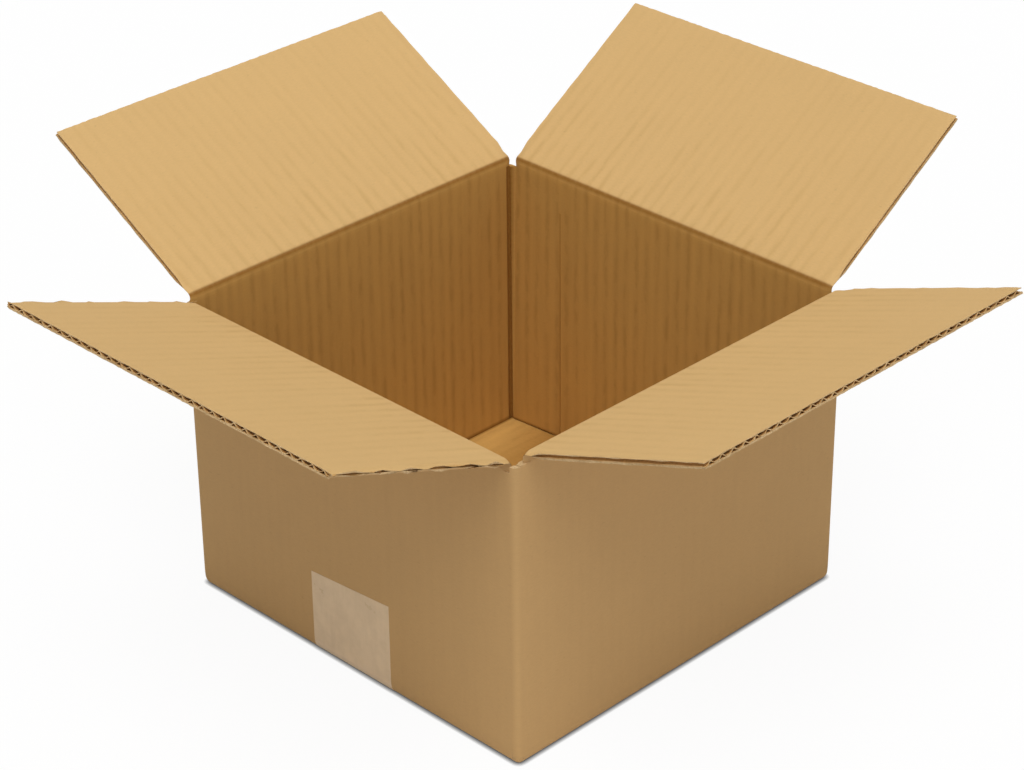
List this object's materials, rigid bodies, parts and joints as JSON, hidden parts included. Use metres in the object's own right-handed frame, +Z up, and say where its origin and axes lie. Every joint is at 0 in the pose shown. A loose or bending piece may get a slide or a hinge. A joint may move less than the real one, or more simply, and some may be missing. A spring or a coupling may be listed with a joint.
{
  "type": "open cardboard box",
  "caption": "Square corrugated shipping carton standing open, with creased top flaps folded outwards and a taped bottom seam.",
  "frame": {"origin": "middle of the underside, where the taped seam of the bottom flaps crosses the centre", "axes": "+X along the taped seam, +Y across it towards the back flap, +Z up"},
  "size_m": [0.3836, 0.387, 0.2041],
  "materials": {
    "kraft_board": "matt brown kraft liner on corrugated board",
    "clear_tape": "clear packing tape with a satin surface"
  },
  "bodies": {
    "carton": {"carton_body": "kraft_board", "sealing_tape": "clear_tape"},
    "back_flap": {"back_flap": "kraft_board"},
    "front_flap": {"front_flap": "kraft_board"},
    "left_flap": {"left_flap": "kraft_board"},
    "right_flap": {"right_flap": "kraft_board"}
  },
  "joints": [
    {"name": "back_crease", "type": "hinge", "parent": "carton", "child": "back_flap", "pos_m": [0, 0.1015, 0.1511], "axis": [-1, 0, 0], "range_deg": [-150.5, 79.5]},
    {"name": "front_crease", "type": "hinge", "parent": "carton", "child": "front_flap", "pos_m": [0, -0.1015, 0.1511], "axis": [1, 0, 0], "range_deg": [-160, 70]},
    {"name": "left_crease", "type": "hinge", "parent": "carton", "child": "left_flap", "pos_m": [-0.1015, 0, 0.1478], "axis": [0, -1, 0], "range_deg": [-159.5, 70.5]},
    {"name": "right_crease", "type": "hinge", "parent": "carton", "child": "right_flap", "pos_m": [0.1015, 0, 0.1478], "axis": [0, 1, 0], "range_deg": [-147, 83]}
  ]
}
